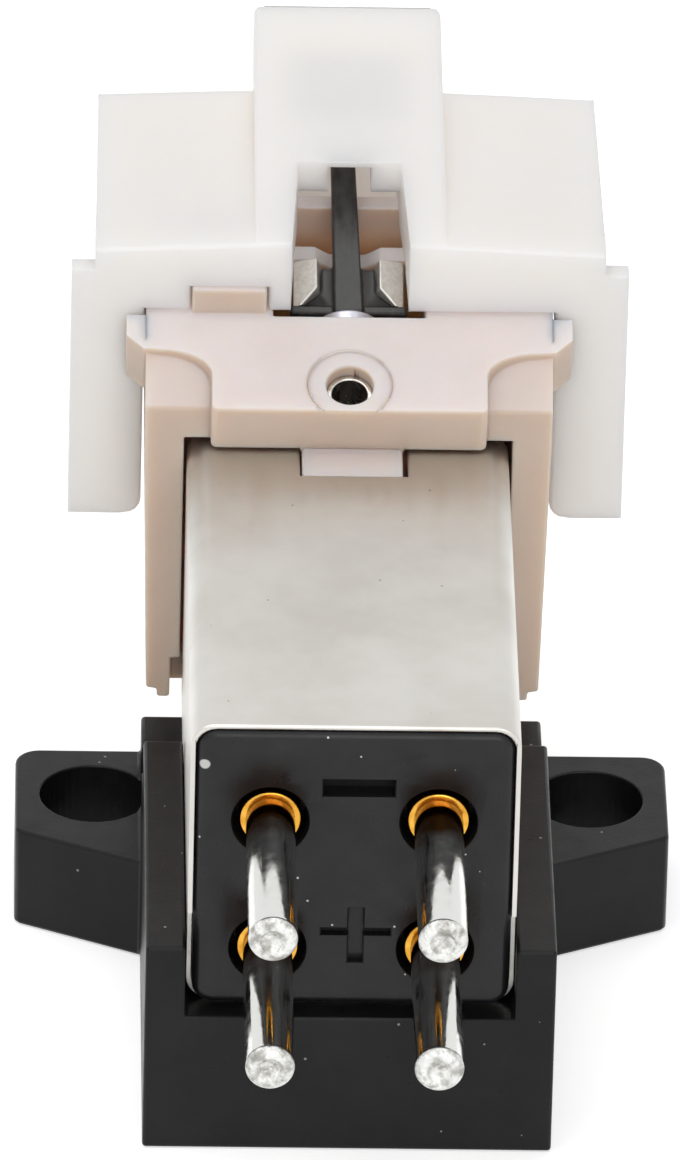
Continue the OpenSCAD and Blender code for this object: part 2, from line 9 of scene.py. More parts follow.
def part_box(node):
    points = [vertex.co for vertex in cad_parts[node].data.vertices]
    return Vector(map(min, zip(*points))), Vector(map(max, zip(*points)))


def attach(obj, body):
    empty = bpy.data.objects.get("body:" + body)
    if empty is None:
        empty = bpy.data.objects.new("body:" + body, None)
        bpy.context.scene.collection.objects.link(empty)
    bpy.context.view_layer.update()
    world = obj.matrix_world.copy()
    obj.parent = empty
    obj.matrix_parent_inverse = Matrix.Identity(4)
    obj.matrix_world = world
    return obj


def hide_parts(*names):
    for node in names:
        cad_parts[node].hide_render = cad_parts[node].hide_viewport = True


# Turntable stylus cartridge: the looks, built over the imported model
# Sizes in the dictionaries are in mm, angles in degrees, patterns in lumps or specks a mm

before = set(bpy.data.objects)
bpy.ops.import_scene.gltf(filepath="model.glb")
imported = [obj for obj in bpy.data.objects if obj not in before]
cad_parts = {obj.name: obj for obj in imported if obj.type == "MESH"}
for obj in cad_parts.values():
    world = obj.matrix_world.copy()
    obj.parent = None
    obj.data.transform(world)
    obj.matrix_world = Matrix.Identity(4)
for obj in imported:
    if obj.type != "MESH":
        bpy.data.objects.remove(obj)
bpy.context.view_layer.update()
mm = 0.001
print("frame loaded:", len(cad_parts), "nodes")

# Colours and nodes

softNoise = {"Detail": 3.0, "Roughness": 0.55}      # what most noise patterns share


def toLinear(hexCode):
    # sRGB to linear: the channel over 12.92 below 0.04045, else ((channel + 0.055) / 1.055) to the power 2.4
    channels = np.array([int(hexCode[i:i + 2], 16) / 255 for i in (1, 3, 5)])
    linear = np.where(channels <= 0.04045, channels / 12.92, ((channels + 0.055) / 1.055) ** 2.4)
    return (*linear.tolist(), 1.0)


def addNode(tree, kind, inputs=None, to=None, **settings):
    # one node with its settings and links; an input takes a number, a hex colour, another node's output,
    # or a node, which stands for its first output; the new node's own first output goes to the socket "to"
    made = tree.nodes.new("ShaderNode" + kind)
    for key, value in settings.items():
        setattr(made, key, value)
    for key, value in (inputs or {}).items():
        value = value.outputs[0] if isinstance(value, bpy.types.Node) else value
        if isinstance(value, bpy.types.NodeSocket):
            tree.links.new(value, made.inputs[key])
        else:
            made.inputs[key].default_value = toLinear(value) if isinstance(value, str) else value
    if to is not None:
        tree.links.new(made.outputs[0], to)
    return made


def newFinish(name, hexCode, roughness, **sockets):
    # a Principled material and the object's own coordinates in mm; sockets are written with underscores
    finish = bpy.data.materials.new(name)
    finish.use_nodes = True
    finish.diffuse_color = toLinear(hexCode)
    tree = finish.node_tree
    surface = tree.nodes["Principled BSDF"]
    surface.inputs["Base Color"].default_value = toLinear(hexCode)
    surface.inputs["Roughness"].default_value = roughness
    for key, value in sockets.items():
        surface.inputs[key.replace("_", " ")].default_value = value
    place = addNode(tree, "TexCoord").outputs["Object"]
    inMm = addNode(tree, "Mapping", {"Vector": place, "Scale": (1 / mm, 1 / mm, 1 / mm)})
    return finish, tree, surface, inMm.outputs["Vector"]


def between(tree, share, low, high, start=0.3, end=0.7, to=None):
    # low where share is start or less, high where it is end or more, evenly in between; numbers or colours
    numbers = {"To Min": low, "To Max": high} if isinstance(low, (int, float)) else {}
    span = {"Value": share, "From Min": start, "From Max": end}
    made = addNode(tree, "MapRange", {**span, **numbers}).outputs[0]
    if not numbers:
        made = addNode(tree, "Mix", {0: made, 6: low, 7: high}, data_type="RGBA").outputs[2]
    if to is not None:
        tree.links.new(made, to)
    return made


def specks(tree, at, perMm, radius):
    # 1 inside small round specks, one in a cell of 1 / perMm mm, elsewhere 0
    cells = addNode(tree, "TexVoronoi", {"Vector": at, "Scale": perMm}).outputs["Distance"]
    return addNode(tree, "Math", {0: cells, 1: radius * perMm}, operation="LESS_THAN").outputs[0]


# Finishes

# Black PBT, injection moulded: satin, a faint orange peel, and a few specks of white dust
bracketFinish = {"colour": "#101011", "worn": "#1a1a1b", "dust": "#8f8f8c", "dustPerMm": 1.3,
                 "dustRadius": 0.035, "roughness": 0.34, "smooth": 0.27, "rough": 0.44, "peel": 0.004}
blackPlastic, tree, surface, at = newFinish("mouldedBlackPbt", bracketFinish["colour"],
                                            bracketFinish["roughness"], IOR=1.5, Specular_IOR_Level=0.22)
cloud = addNode(tree, "TexNoise", {**softNoise, "Vector": at, "Scale": 0.5, "Detail": 4.0})
dulled = between(tree, cloud, bracketFinish["colour"], bracketFinish["worn"], 0.35)
dust = specks(tree, at, bracketFinish["dustPerMm"], bracketFinish["dustRadius"])
between(tree, dust, dulled, bracketFinish["dust"], 0, 1, to=surface.inputs["Base Color"])
handled = addNode(tree, "TexNoise", {**softNoise, "Vector": at, "Scale": 1.4, "Detail": 5.0})
between(tree, handled, bracketFinish["smooth"], bracketFinish["rough"], to=surface.inputs["Roughness"])
peel = addNode(tree, "TexNoise", {**softNoise, "Vector": at, "Scale": 9.0})
addNode(tree, "Bump", {"Height": peel, "Distance": bracketFinish["peel"] * mm}, to=surface.inputs["Normal"])

# Black nylon terminal block, injection moulded: a little bluer and smoother than the bracket, one pale chip
blockFinish = {"colour": "#141416", "worn": "#1f1f21", "dust": "#d2d2ce", "dustPerMm": 1.5, "dustRadius": 0.03,
               "chip": (-3.76, -12.3, 10.98), "chipSize": 0.12, "chipEdge": 1.25,
               "roughness": 0.3, "smooth": 0.25, "rough": 0.38, "peel": 0.003}
blockPlastic, tree, surface, at = newFinish("mouldedBlackNylon", blockFinish["colour"],
                                            blockFinish["roughness"], IOR=1.52, Specular_IOR_Level=0.3)
away = addNode(tree, "VectorMath", {0: at, 1: blockFinish["chip"]}, operation="DISTANCE").outputs["Value"]
chip = between(tree, away, 1, 0, blockFinish["chipSize"], blockFinish["chipSize"] * blockFinish["chipEdge"])
dust = specks(tree, at, blockFinish["dustPerMm"], blockFinish["dustRadius"])
pale = addNode(tree, "Math", {0: dust, 1: chip}, operation="MAXIMUM")
cloud = addNode(tree, "TexNoise", {**softNoise, "Vector": at, "Scale": 0.9, "Detail": 4.0})
dulled = between(tree, cloud, blockFinish["colour"], blockFinish["worn"], 0.3, 0.75)
between(tree, pale, dulled, blockFinish["dust"], 0, 1, to=surface.inputs["Base Color"])
handled = addNode(tree, "TexNoise", {**softNoise, "Vector": at, "Scale": 2.0, "Detail": 4.0})
between(tree, handled, blockFinish["smooth"], blockFinish["rough"], to=surface.inputs["Roughness"])
peel = addNode(tree, "TexNoise", {**softNoise, "Vector": at, "Scale": 12.0})
addNode(tree, "Bump", {"Height": peel, "Distance": blockFinish["peel"] * mm}, to=surface.inputs["Normal"])

# Nickel-plated mu-metal sheet, satin from rolling: long soft streaks, dull blooms and a few pits
canFinish = {"colour": "#d8d6d1", "dull": "#cbc8c2", "pit": "#8d8a85", "pitPerMm": 1.1, "pitRadius": 0.03,
             "roughness": 0.3, "smooth": 0.33, "rough": 0.42, "bloomSmooth": -0.02, "bloomRough": 0.04,
             "rolling": (1.6, 0.12, 1.6), "streakDepth": 0.004}
nickelPlate, tree, surface, at = newFinish("nickelPlatedSheet", canFinish["colour"], canFinish["roughness"],
                                           Metallic=1.0)
rolled = addNode(tree, "Mapping", {"Vector": at, "Scale": canFinish["rolling"]})
streaks = addNode(tree, "TexNoise", {"Vector": rolled, "Scale": 1.0, "Detail": 5.0, "Roughness": 0.6})
bloom = addNode(tree, "TexNoise", {**softNoise, "Vector": at, "Scale": 0.35, "Detail": 4.0})
dulled = between(tree, bloom, canFinish["colour"], canFinish["dull"], 0.35)
pits = specks(tree, at, canFinish["pitPerMm"], canFinish["pitRadius"])
between(tree, pits, dulled, canFinish["pit"], 0, 1, to=surface.inputs["Base Color"])
satin = between(tree, streaks, canFinish["smooth"], canFinish["rough"])
clouding = between(tree, bloom, canFinish["bloomSmooth"], canFinish["bloomRough"], 0.35)
addNode(tree, "Math", {0: satin, 1: clouding}, to=surface.inputs["Roughness"], operation="ADD")
streaks = {"Height": streaks, "Distance": canFinish["streakDepth"] * mm}
addNode(tree, "Bump", streaks, to=surface.inputs["Normal"])

# Bright tin over brass pins: silver at the free end, gold-brown where the plating of the socket end shows,
# and torn metal where the wire was cropped, painted darker in blotches partly for its dull metal and partly as
# painted shade of the dark reflections in the end's dent
pinFinish = {"tin": "#e2e2df", "tornAndShaded": "#9b9993", "gold": "#8a5a1c", "tinTo": -14.2, "goldFrom": -13.2,
             "wander": 0.5, "cutEnd": -18.02, "cutFade": 0.05, "cutDull": 0.3, "scarring": 3,
             "roughness": 0.1, "smooth": 0.08, "rough": 0.2, "wave": 0.012, "tear": 0.25}
tinnedPin, tree, surface, at = newFinish("tinnedBrassPin", pinFinish["tin"], pinFinish["roughness"],
                                         Metallic=1.0)
alongPin = addNode(tree, "SeparateXYZ", {"Vector": at}).outputs["Y"]
uneven = addNode(tree, "TexNoise", {**softNoise, "Vector": at, "Scale": 1.3})
shifted = {0: alongPin, 1: between(tree, uneven, -pinFinish["wander"], pinFinish["wander"])}
plating = addNode(tree, "Math", shifted, operation="ADD")
plated = between(tree, plating, pinFinish["tin"], pinFinish["gold"], pinFinish["tinTo"], pinFinish["goldFrom"])
cutEnd = (pinFinish["cutEnd"], pinFinish["cutEnd"] + pinFinish["cutFade"])
cropped = between(tree, alongPin, pinFinish["cutDull"], 0.0, *cutEnd)
# painted shade: the cut end's blotches are painted darker, partly for its torn metal and partly for the dark
# reflections of its dent
blotches = addNode(tree, "TexNoise", {**softNoise, "Vector": at, "Scale": 3.5})
scars = {0: between(tree, blotches, 0, pinFinish["scarring"], 0.45, 0.65), 1: cropped}
scarredAndShaded = addNode(tree, "Math", scars, operation="MULTIPLY", use_clamp=True)
between(tree, scarredAndShaded, plated, pinFinish["tornAndShaded"], 0, 1, to=surface.inputs["Base Color"])
clouds = addNode(tree, "TexNoise", {**softNoise, "Vector": at, "Scale": 3.0, "Detail": 4.0})
dulled = {0: between(tree, clouds, pinFinish["smooth"], pinFinish["rough"], 0.35), 1: cropped}
addNode(tree, "Math", dulled, to=surface.inputs["Roughness"], operation="ADD")
drawn = addNode(tree, "Mapping", {"Vector": at, "Scale": (1, 0.35, 1)})
waves = addNode(tree, "TexNoise", {**softNoise, "Vector": drawn, "Scale": 2.2})
waves = addNode(tree, "Bump", {"Height": waves, "Distance": pinFinish["wave"] * mm})
tears = addNode(tree, "TexNoise", {**softNoise, "Vector": at, "Scale": 6.0, "Detail": 4.0})
tears = addNode(tree, "Math", {0: tears, 1: cropped}, operation="MULTIPLY")
tears = {"Height": tears, "Distance": pinFinish["tear"] * mm, "Normal": waves}
addNode(tree, "Bump", tears, to=surface.inputs["Normal"])

# Gold-plated brass eyelets, turned: bright, with a faint ripple from the tool
goldFinish = {"colour": "#e9b04a", "dark": "#c98a2a", "roughness": 0.16, "ripple": 0.004}
goldPlate, tree, surface, at = newFinish("goldPlatedBrass", goldFinish["colour"], goldFinish["roughness"],
                                         Metallic=1.0)
worn = addNode(tree, "TexNoise", {**softNoise, "Vector": at, "Scale": 2.5})
between(tree, worn, goldFinish["colour"], goldFinish["dark"], 0.35, to=surface.inputs["Base Color"])
ripple = addNode(tree, "TexNoise", {**softNoise, "Vector": at, "Scale": 8.0})
addNode(tree, "Bump", {"Height": ripple, "Distance": goldFinish["ripple"] * mm}, to=surface.inputs["Normal"])

# Laminated nickel-iron cores, annealed: grey sheets of 0.1 mm seen at their edges, drawn wider to show
coreFinish = {"colour": "#a3a19c", "edge": "#8a8883", "face": "#b4b2ac", "sheetScale": 0.95, "step": 0.01,
              "roughness": 0.4, "smooth": 0.32, "rough": 0.5}
coreAlloy, tree, surface, at = newFinish("annealedCoreAlloy", coreFinish["colour"], coreFinish["roughness"],
                                         Metallic=1.0)
sheets = {"Vector": at, "Scale": coreFinish["sheetScale"], "Distortion": 0.4, "Detail": 2.0}
sheets = addNode(tree, "TexWave", sheets, bands_direction="X").outputs["Fac"]
between(tree, sheets, coreFinish["edge"], coreFinish["face"], 0, 1, to=surface.inputs["Base Color"])
scale = addNode(tree, "TexNoise", {**softNoise, "Vector": at, "Scale": 3.0})
between(tree, scale, coreFinish["smooth"], coreFinish["rough"], to=surface.inputs["Roughness"])
addNode(tree, "Bump", {"Height": sheets, "Distance": coreFinish["step"] * mm}, to=surface.inputs["Normal"])

# Dark glass-filled nylon, moulded: bobbins, with short pale fibres near the surface
bobbinFinish = {"colour": "#3a3834", "nylon": "#35332f", "fibre": "#55524a", "roughness": 0.45,
                "relief": 0.006}
bobbinPlastic, tree, surface, at = newFinish("glassFilledNylon", bobbinFinish["colour"],
                                             bobbinFinish["roughness"], IOR=1.53)
drawn = addNode(tree, "Mapping", {"Vector": at, "Scale": (1, 0.2, 1)})
fibres = addNode(tree, "TexNoise", {**softNoise, "Vector": drawn, "Scale": 6.0})
between(tree, fibres, bobbinFinish["nylon"], bobbinFinish["fibre"], 0.5, 0.8, to=surface.inputs["Base Color"])
addNode(tree, "Bump", {"Height": fibres, "Distance": bobbinFinish["relief"] * mm}, to=surface.inputs["Normal"])

# Enamelled copper wire, drawn and wound: round turns across the core, clear lacquer, an uneven tone, and
# painted shade in the creases between the turns
# The real wire is 0.04 mm thick; its turns are drawn 0.12 mm wide so that they show
wireFinish = {"colour": "#b5622f", "light": "#cf7d44", "dark": "#a9521f", "gap": "#4a1f0c", "gapShare": 0.75,
              "turnWidth": 0.12, "slope": 23, "roughness": 0.28, "relief": 0.06}
copperWire, tree, surface, at = newFinish("enamelledCopper", wireFinish["colour"], wireFinish["roughness"],
                                          Metallic=1.0,
                                          Coat_Weight=0.6, Coat_Roughness=0.12)
lying = addNode(tree, "Mapping", {"Vector": at, "Rotation": (-math.radians(wireFinish["slope"]), 0, 0)})
turns = {"Vector": lying, "Scale": math.pi / 10 / wireFinish["turnWidth"], "Distortion": 0.6, "Detail": 1.0}
turns = addNode(tree, "TexWave", turns, bands_direction="Y").outputs["Fac"]
ageing = addNode(tree, "TexNoise", {**softNoise, "Vector": at, "Scale": 1.5})
aged = between(tree, ageing, wireFinish["dark"], wireFinish["light"])
# painted shade: the creases between the turns are painted dark brown
gaps = between(tree, turns, wireFinish["gapShare"], 0.0, 0.0, 0.35)
between(tree, gaps, aged, wireFinish["gap"], 0, 1, to=surface.inputs["Base Color"])
addNode(tree, "Bump", {"Height": turns, "Distance": wireFinish["relief"] * mm}, to=surface.inputs["Normal"])

# Cream polystyrene, injection moulded: waxy and slightly translucent; its tops are painted paler as lit, its
# upright faces darker tan as painted shade, and the window's deep walls carry a painted tan glow
# the first two colours are the painted lit tops, the two side colours the painted shade of the upright faces
creamFinish = {"colour": "#e9e0df", "litTopWarm": "#e2d7d3", "side": "#dac8ba", "shadedSideWarm": "#d3bfaf",
               "roughness": 0.4, "smooth": 0.34, "rough": 0.5, "radius": (1.0, 0.75, 0.55), "reach": 0.7,
               "peel": 0.004}
# painted light: a bright tan glow painted on the window's rear-facing inner walls
creamWindowGlow = {"tan": "#f7c58c", "half": 2.0, "from": 7.6, "fadeIn": 0.4, "to": 8.42, "fadeOut": 0.02,
               "tanFrom": 13.8, "tanBelow": 15.0, "reach": 0.25}
creamTube = {"darkFloor": "#241a13", "floor": (0, 2.371, 12.47), "from": 0.5, "to": 0.56}
scattering = {"Subsurface_Weight": 1.0, "Subsurface_Radius": creamFinish["radius"],
              "Subsurface_Scale": creamFinish["reach"] * mm}
creamPlastic, tree, surface, at = newFinish("mouldedCreamPolystyrene", creamFinish["colour"],
                                            creamFinish["roughness"], IOR=1.5, Specular_IOR_Level=0.4,
                                            **scattering)
cloud = addNode(tree, "TexNoise", {**softNoise, "Vector": at, "Scale": 0.3, "Detail": 4.0})
# painted light and shade: faces that look up are painted paler as lit, and the upright ones darker tan as
# shade
normal = addNode(tree, "SeparateXYZ", {"Vector": addNode(tree, "TexCoord").outputs["Normal"]})
upright = between(tree, cloud, creamFinish["side"], creamFinish["shadedSideWarm"])
litTopTone = between(tree, cloud, creamFinish["colour"], creamFinish["litTopWarm"])
litAndShadedTone = between(tree, normal.outputs["Z"], upright, litTopTone, 0.35, 0.8)
# painted light: the window's inner walls, which face the rear, are painted a bright tan glow for the light
# that the thin plastic passes, more so towards their foot
parts = addNode(tree, "SeparateXYZ", {"Vector": at})
across = addNode(tree, "Math", {0: parts.outputs["X"]}, operation="ABSOLUTE")
paintedGlow = addNode(tree, "Math", {0: across, 1: creamWindowGlow["half"]}, operation="LESS_THAN")
ahead = (parts.outputs["Y"], 0, 1, creamWindowGlow["from"], creamWindowGlow["from"] + creamWindowGlow["fadeIn"])
behind = (parts.outputs["Y"], 1, 0, creamWindowGlow["to"], creamWindowGlow["to"] + creamWindowGlow["fadeOut"])
deep = (parts.outputs["Z"], 1, 0, creamWindowGlow["tanFrom"], creamWindowGlow["tanBelow"])
rearward = (normal.outputs["Y"], 1, 0, 0.0, 0.3)
for limit in (ahead, behind, deep, rearward):
    paintedGlow = addNode(tree, "Math", {0: paintedGlow, 1: between(tree, *limit)}, operation="MULTIPLY")
withPaintedGlow = between(tree, paintedGlow, litAndShadedTone, creamWindowGlow["tan"], 0, 1)
reach = (creamFinish["reach"] * mm, creamWindowGlow["reach"] * mm)
between(tree, paintedGlow, *reach, 0, 1, to=surface.inputs["Subsurface Scale"])
# a dark brown disc painted at the bottom of the anchor tube
depth = addNode(tree, "VectorMath", {0: at, 1: creamTube["floor"]}, operation="DISTANCE").outputs["Value"]
darkFloorShare = between(tree, depth, 1, 0, creamTube["from"], creamTube["to"])
between(tree, darkFloorShare, withPaintedGlow, creamTube["darkFloor"], 0, 1, to=surface.inputs["Base Color"])
handled = addNode(tree, "TexNoise", {**softNoise, "Vector": at, "Scale": 1.2, "Detail": 4.0})
between(tree, handled, creamFinish["smooth"], creamFinish["rough"], to=surface.inputs["Roughness"])
peel = addNode(tree, "TexNoise", {**softNoise, "Vector": at, "Scale": 7.0})
addNode(tree, "Bump", {"Height": peel, "Distance": creamFinish["peel"] * mm}, to=surface.inputs["Normal"])

# Rolled tin-plated steel strip: bright, with drawing marks along the tube
tubeFinish = {"colour": "#d5d3cd", "roughness": 0.18, "smooth": 0.12, "rough": 0.3, "mark": 0.008}
tubeSteel, tree, surface, at = newFinish("rolledTinplate", tubeFinish["colour"], tubeFinish["roughness"],
                                         Metallic=1.0)
tarnish = addNode(tree, "TexNoise", {**softNoise, "Vector": at, "Scale": 4.0, "Detail": 4.0})
between(tree, tarnish, tubeFinish["smooth"], tubeFinish["rough"], to=surface.inputs["Roughness"])
drawn = addNode(tree, "Mapping", {"Vector": at, "Scale": (1, 1, 0.2)})
marks = addNode(tree, "TexNoise", {**softNoise, "Vector": drawn, "Scale": 6.0})
addNode(tree, "Bump", {"Height": marks, "Distance": tubeFinish["mark"] * mm}, to=surface.inputs["Normal"])

# Pale anodised aluminium sleeve, turned: soft sheen and a faint lilac tone
sleeveFinish = {"colour": "#dcdae6", "dark": "#d2d0de", "light": "#e6e5ee", "roughness": 0.35, "grain": 0.004}
sleeveMetal, tree, surface, at = newFinish("anodisedSleeve", sleeveFinish["colour"], sleeveFinish["roughness"],
                                           Metallic=0.7)
tone = addNode(tree, "TexNoise", {**softNoise, "Vector": at, "Scale": 3.0})
between(tree, tone, sleeveFinish["dark"], sleeveFinish["light"], to=surface.inputs["Base Color"])
grain = addNode(tree, "TexNoise", {**softNoise, "Vector": at, "Scale": 10.0, "Detail": 2.0})
addNode(tree, "Bump", {"Height": grain, "Distance": sleeveFinish["grain"] * mm}, to=surface.inputs["Normal"])

# Butyl rubber damper, moulded: black, dull and slightly tacky
damperFinish = {"colour": "#1b1a1a", "roughness": 0.7, "smooth": 0.6, "rough": 0.8, "skin": 0.008}
damperRubber, tree, surface, at = newFinish("mouldedButylRubber", damperFinish["colour"],
                                            damperFinish["roughness"], IOR=1.52)
tacky = addNode(tree, "TexNoise", {**softNoise, "Vector": at, "Scale": 4.0})
between(tree, tacky, damperFinish["smooth"], damperFinish["rough"], to=surface.inputs["Roughness"])
skin = addNode(tree, "TexNoise", {**softNoise, "Vector": at, "Scale": 14.0})
addNode(tree, "Bump", {"Height": skin, "Distance": damperFinish["skin"] * mm}, to=surface.inputs["Normal"])

# Carbon-filled plastic cantilever, moulded: near black, with a soft grey sheen drawn out along the bar
barFinish = {"colour": "#2c2c2b", "dark": "#232323", "light": "#41413f", "roughness": 0.36, "smooth": 0.28,
             "rough": 0.46, "grain": 0.006}
carbonPlastic, tree, surface, at = newFinish("carbonFilledPlastic", barFinish["colour"],
                                             barFinish["roughness"], IOR=1.55)
drawn = addNode(tree, "Mapping", {"Vector": at, "Scale": (1, 0.12, 1)})
grain = addNode(tree, "TexNoise", {**softNoise, "Vector": drawn, "Scale": 5.0, "Detail": 4.0})
between(tree, grain, barFinish["dark"], barFinish["light"], 0.35, 0.75, to=surface.inputs["Base Color"])
between(tree, grain, barFinish["smooth"], barFinish["rough"], to=surface.inputs["Roughness"])
addNode(tree, "Bump", {"Height": grain, "Distance": barFinish["grain"] * mm}, to=surface.inputs["Normal"])

# Sintered magnets with thin nickel: grey, matt and slightly grainy
magnetFinish = {"colour": "#e2e0da", "dark": "#d6d4cd", "light": "#ebe9e4", "roughness": 0.5, "smooth": 0.44,
                "rough": 0.58, "grain": 0.006}
magnetMetal, tree, surface, at = newFinish("nickelledMagnet", magnetFinish["colour"],
                                           magnetFinish["roughness"], Metallic=0.85)
grains = addNode(tree, "TexNoise", {**softNoise, "Vector": at, "Scale": 9.0, "Detail": 4.0})
between(tree, grains, magnetFinish["dark"], magnetFinish["light"], to=surface.inputs["Base Color"])
between(tree, grains, magnetFinish["smooth"], magnetFinish["rough"], to=surface.inputs["Roughness"])
addNode(tree, "Bump", {"Height": grains, "Distance": magnetFinish["grain"] * mm}, to=surface.inputs["Normal"])

# Diamond, ground: clear and very bright, faintly straw-coloured
diamondLook = {"colour": "#f2efe0", "roughness": 0.04, "smooth": 0.02, "rough": 0.12}
diamondFinish, tree, surface, at = newFinish("groundDiamond", diamondLook["colour"], diamondLook["roughness"],
                                             IOR=2.42, Transmission_Weight=0.9)
facets = addNode(tree, "TexNoise", {**softNoise, "Vector": at, "Scale": 20.0})
between(tree, facets, diamondLook["smooth"], diamondLook["rough"], to=surface.inputs["Roughness"])

# Natural polypropylene guard, injection moulded: milky, soft in its shadows, with faint flow marks
guardFinish = {"colour": "#fbf2ed", "cool": "#f7f1ee", "roughness": 0.3, "smooth": 0.28, "rough": 0.38,
               "radius": (1.0, 0.92, 0.84), "reach": 1.3, "letThrough": 0.9, "flow": 0.006}
scattering = {"Subsurface_Weight": 1.0, "Subsurface_Radius": guardFinish["radius"],
              "Subsurface_Scale": guardFinish["reach"] * mm}
milkyPlastic, tree, surface, at = newFinish("naturalPolypropylene", guardFinish["colour"],
                                            guardFinish["roughness"], IOR=1.49, **scattering)
cloud = addNode(tree, "TexNoise", {**softNoise, "Vector": at, "Scale": 0.22})
between(tree, cloud, guardFinish["colour"], guardFinish["cool"], to=surface.inputs["Base Color"])
handled = addNode(tree, "TexNoise", {**softNoise, "Vector": at, "Scale": 0.4, "Detail": 1.0})
between(tree, handled, guardFinish["smooth"], guardFinish["rough"], to=surface.inputs["Roughness"])
flow = addNode(tree, "TexNoise", {**softNoise, "Vector": at, "Scale": 2.5})
addNode(tree, "Bump", {"Height": flow, "Distance": guardFinish["flow"] * mm}, to=surface.inputs["Normal"])
# each milky face lets part of a lamp's light through, so that what the guard covers isn't black
shadowRay = addNode(tree, "LightPath").outputs["Is Shadow Ray"]
between(tree, shadowRay, 1.0, 1 - guardFinish["letThrough"], 0, 1, to=surface.inputs["Alpha"])

print("finishes made")

# Shapes

# points nearer than merge are one, and the weighted normals lean to the large faces by the evenness
softening = {"merge": 0.0002, "flat": 0.2, "sharp": 30, "crease": 32, "evenness": 80}


def placePiece(name, mesh, finish, body, slotName, *replaced):
    # smooth faces with creases above the crease angle, the finish, and the body that the piece moves with
    mesh.validate()
    mesh.polygons.foreach_set("use_smooth", np.ones(len(mesh.polygons), bool))
    mesh.set_sharp_from_angle(angle=math.radians(softening["crease"]))
    mesh.materials.clear()
    mesh.materials.append(finish)
    piece = bpy.data.objects.new(name, mesh)
    bpy.context.scene.collection.objects.link(piece)
    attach(piece, body)
    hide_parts(*replaced)
    return piece


def softened(name, nodeName, finish, body, slotName, rounding, weigh=None, segments=3, hollows=True):
    # a merged copy of a CAD solid; its sharp edges are rounded by rounding mm times weigh(edge middle in mm),
    # and without hollows only the outward ones are
    shape = bmesh.new()
    shape.from_mesh(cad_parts[nodeName].data)
    bmesh.ops.remove_doubles(shape, verts=shape.verts, dist=softening["merge"] * mm)
    flat = math.radians(softening["flat"])
    bmesh.ops.dissolve_limit(shape, angle_limit=flat, verts=shape.verts, edges=shape.edges)
    bends = np.array([edge.calc_face_angle_signed(0.0) for edge in shape.edges])
    bends = np.abs(bends) if hollows else bends
    middles = np.array([(edge.verts[0].co + edge.verts[1].co) / 2 for edge in shape.edges]) / mm
    mesh = bpy.data.meshes.new(name)
    shape.to_mesh(mesh)
    shape.free()
    weights = np.where(bends > math.radians(softening["sharp"]), weigh(middles) if weigh else 1.0, 0.0)
    stored = mesh.attributes.new("bevel_weight_edge", "FLOAT", "EDGE")
    stored.data.foreach_set("value", weights.astype(np.float32))
    piece = placePiece(name, mesh, finish, body, slotName, nodeName)
    rounded = piece.modifiers.new("rounded", "BEVEL")
    rounded.limit_method = "WEIGHT"
    rounded.width = rounding * mm
    rounded.segments = segments
    rounded.use_clamp_overlap = False
    piece.modifiers.new("triangles", "TRIANGULATE").ngon_method = "BEAUTY"
    shading = piece.modifiers.new("shading", "WEIGHTED_NORMAL")
    shading.weight = softening["evenness"]
    shading.keep_sharp = True
    return piece


def faceOutwards(mesh, merge=0.0):
    # points within merge mm of each other become one, and every closed solid's faces turn outwards
    shape = bmesh.new()
    shape.from_mesh(mesh)
    if merge:
        bmesh.ops.remove_doubles(shape, verts=shape.verts, dist=merge * mm)
    bmesh.ops.recalc_face_normals(shape, faces=shape.faces)
    shape.to_mesh(mesh)
    shape.free()


def turned(name, profile, centre, axis, finish, body, slotName, nodeName, steps=48):
    # a profile of (distance along the axis, radius), in steps round it: centre + distance axis + radius ring,
    # where ring = cos t side + sin t other; both ends close on the axis, which is a unit vector off X
    profile, axis = np.asarray(profile, float), np.asarray(axis, float)
    side = np.cross(axis, (1, 0, 0))
    other = np.cross(axis, side)
    turn = np.linspace(0, 2 * np.pi, steps, endpoint=False)
    ring = np.cos(turn)[:, None] * side + np.sin(turn)[:, None] * other
    points = (np.array(centre) + profile[:, None, :1] * axis + profile[:, None, 1:] * ring[None]) * mm
    rows, columns = np.meshgrid(np.arange(len(profile) - 1), np.arange(steps), indexing="ij")
    here, beside = rows * steps + columns, rows * steps + (columns + 1) % steps
    faces = np.stack([here, beside, beside + steps, here + steps], -1).reshape(-1, 4)
    mesh = bpy.data.meshes.new(name)
    mesh.from_pydata(points.reshape(-1, 3).tolist(), [], faces.tolist())
    faceOutwards(mesh, softening["merge"])
    return placePiece(name, mesh, finish, body, slotName, nodeName)


# Mounting bracket, can and terminal block

bracketEdges = {"rounding": 0.09, "rimShare": 0.5, "holeAcross": 6.35, "rimWithin": 1.45}


def bracketWeights(middle):
    # full rounding everywhere, half at the rims of the two mounting holes
    fromHole = np.hypot(np.abs(middle[:, 0]) - bracketEdges["holeAcross"], middle[:, 1])
    return np.where(fromHole < bracketEdges["rimWithin"], bracketEdges["rimShare"], 1.0)


softened("bracketMoulding", "mounting_bracket", blackPlastic, "cartridge", "black_plastic",
         bracketEdges["rounding"], bracketWeights)

canEdges = {"rounding": 0.05, "topAbove": 11.0, "lowerShare": 0.3}
softened("canSheet", "shield_can", nickelPlate, "cartridge", "nickel_plate", canEdges["rounding"],
         lambda middle: np.where(middle[:, 2] > canEdges["topAbove"], 1.0, canEdges["lowerShare"]))

